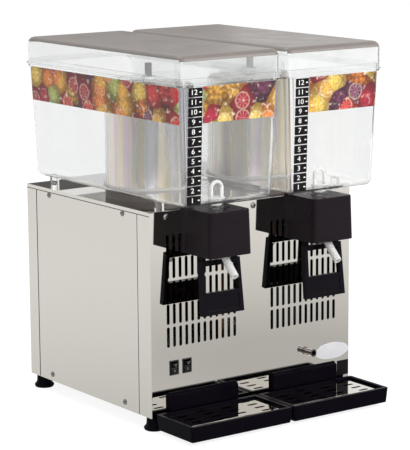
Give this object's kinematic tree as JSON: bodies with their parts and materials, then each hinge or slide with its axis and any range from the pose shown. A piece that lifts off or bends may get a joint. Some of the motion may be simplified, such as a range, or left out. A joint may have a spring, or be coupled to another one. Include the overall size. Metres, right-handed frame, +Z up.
{
  "type": "refrigerated juice dispenser",
  "caption": "Countertop cold juice dispenser: clear lift-off tanks over cooling drums, push-lever taps, drip trays and a slotted stainless cabinet that holds the refrigeration.",
  "frame": {"origin": "on the counter under the middle of the machine's outer box", "axes": "+X to the right as the user faces the taps, +Y to the back, +Z up"},
  "size_m": [0.425, 0.503, 0.625],
  "materials": {
    "polished_steel": "mirror-polished stainless sheet",
    "satin_steel": "satin stainless sheet",
    "plain_steel": "zinc-plated steel",
    "black_plastic": "moulded black plastic, soft gloss",
    "black_rubber": "moulded rubber",
    "clear_plastic": "clear moulded plastic",
    "lid_plastic": "tinted moulded plastic over a clear skirt",
    "seal_rubber": "grey food-grade rubber",
    "milky_silicone": "translucent silicone",
    "dark_plastic": "dark moulded plastic",
    "switch_black": "black moulded plastic",
    "compressor_black": "black stove enamel",
    "copper": "bare copper",
    "fin_aluminium": "bare aluminium fins"
  },
  "bodies": {
    "cabinet": {"front_panel": "polished_steel", "top_deck": "polished_steel", "evaporator_left": "polished_steel", "evaporator_right": "polished_steel", "drain_tube": "polished_steel", "rear_panel": "satin_steel", "left_side_panel": "satin_steel", "right_side_panel": "satin_steel", "base_pan": "plain_steel", "top_frame": "plain_steel", "fan_bracket": "plain_steel", "fan_shroud": "plain_steel", "lever_pin_left": "plain_steel", "lever_pin_right": "plain_steel", "lever_spring_left": "plain_steel", "lever_spring_right": "plain_steel", "stirrer_motor_left": "plain_steel", "stirrer_motor_right": "plain_steel", "fan_motor": "plain_steel", "tap_housing_left": "black_plastic", "tap_housing_right": "black_plastic", "tray_bracket_left": "black_plastic", "tray_bracket_right": "black_plastic", "switch_frame_left": "black_plastic", "switch_frame_right": "black_plastic", "cable_gland": "black_plastic", "feet": "black_rubber", "compressor_mounts": "black_rubber", "tank_seal_left": "seal_rubber", "tank_seal_right": "seal_rubber", "spout_tube_left": "milky_silicone", "spout_tube_right": "milky_silicone", "thermostat": "dark_plastic", "compressor": "compressor_black", "discharge_line": "copper", "liquid_line": "copper", "suction_line": "copper", "capillary_left": "copper", "capillary_right": "copper", "filter_drier": "copper", "condenser": "fin_aluminium"},
    "tank_left": {"tank_left": "clear_plastic"},
    "tank_right": {"tank_right": "clear_plastic"},
    "lid_left": {"lid_left": "lid_plastic"},
    "lid_right": {"lid_right": "lid_plastic"},
    "plug_left": {"outlet_plug_left": "milky_silicone"},
    "plug_right": {"outlet_plug_right": "milky_silicone"},
    "lever_left": {"lever_left": "black_plastic"},
    "lever_right": {"lever_right": "black_plastic"},
    "rocker_left": {"rocker_left": "switch_black"},
    "rocker_right": {"rocker_right": "switch_black"},
    "tray_left": {"drip_tray_left": "black_plastic"},
    "tray_right": {"drip_tray_right": "black_plastic"},
    "grid_left": {"drip_grid_left": "polished_steel"},
    "grid_right": {"drip_grid_right": "polished_steel"},
    "fan": {"fan_blades": "dark_plastic"},
    "stirrer_left": {"stirrer_left": "dark_plastic"},
    "stirrer_right": {"stirrer_right": "dark_plastic"}
  },
  "joints": [
    {"name": "tank_left_lift", "type": "slide", "parent": "cabinet", "child": "tank_left", "axis": [0, 0, 1], "range_m": [0, 0.25]},
    {"name": "lid_left_lift", "type": "slide", "parent": "tank_left", "child": "lid_left", "axis": [0, 0, 1], "range_m": [0, 0.06]},
    {"name": "plug_left_lift", "type": "slide", "parent": "tank_left", "child": "plug_left", "axis": [0, 0, 1], "range_m": [0, 0.06]},
    {"name": "lever_left_push", "type": "hinge", "parent": "cabinet", "child": "lever_left", "pos_m": [-0.107, -0.1755, 0.332], "axis": [1, 0, 0], "range_deg": [0, 12], "stiffness_Nm_per_rad": 1.2, "springref_deg": -20.05, "deforming": ["lever_spring_left"]},
    {"name": "stirrer_left_turn", "type": "hinge", "parent": "cabinet", "child": "stirrer_left", "pos_m": [-0.107, 0.005, 0.4], "axis": [0, 0, 1], "continuous": true},
    {"name": "tank_right_lift", "type": "slide", "parent": "cabinet", "child": "tank_right", "axis": [0, 0, 1], "range_m": [0, 0.25]},
    {"name": "lid_right_lift", "type": "slide", "parent": "tank_right", "child": "lid_right", "axis": [0, 0, 1], "range_m": [0, 0.06]},
    {"name": "plug_right_lift", "type": "slide", "parent": "tank_right", "child": "plug_right", "axis": [0, 0, 1], "range_m": [0, 0.06]},
    {"name": "lever_right_push", "type": "hinge", "parent": "cabinet", "child": "lever_right", "pos_m": [0.107, -0.1755, 0.332], "axis": [1, 0, 0], "range_deg": [0, 12], "stiffness_Nm_per_rad": 1.2, "springref_deg": -20.05, "deforming": ["lever_spring_right"]},
    {"name": "stirrer_right_turn", "type": "hinge", "parent": "cabinet", "child": "stirrer_right", "pos_m": [0.107, 0.005, 0.4], "axis": [0, 0, 1], "continuous": true},
    {"name": "tray_left_pull", "type": "slide", "parent": "cabinet", "child": "tray_left", "axis": [0, -1, 0], "range_m": [0, 0.12]},
    {"name": "grid_left_lift", "type": "slide", "parent": "tray_left", "child": "grid_left", "axis": [0, 0, 1], "range_m": [0, 0.04]},
    {"name": "tray_right_pull", "type": "slide", "parent": "cabinet", "child": "tray_right", "axis": [0, -1, 0], "range_m": [0, 0.12]},
    {"name": "grid_right_lift", "type": "slide", "parent": "tray_right", "child": "grid_right", "axis": [0, 0, 1], "range_m": [0, 0.04]},
    {"name": "rocker_left_rock", "type": "hinge", "parent": "cabinet", "child": "rocker_left", "pos_m": [-0.1638, -0.1395, 0.1037], "axis": [1, 0, 0], "range_deg": [-20, 0]},
    {"name": "rocker_right_rock", "type": "hinge", "parent": "cabinet", "child": "rocker_right", "pos_m": [-0.1379, -0.1395, 0.1037], "axis": [1, 0, 0], "range_deg": [-20, 0]},
    {"name": "fan_turn", "type": "hinge", "parent": "cabinet", "child": "fan", "pos_m": [0.107, -0.05, 0.125], "axis": [0, 1, 0], "continuous": true}
  ]
}
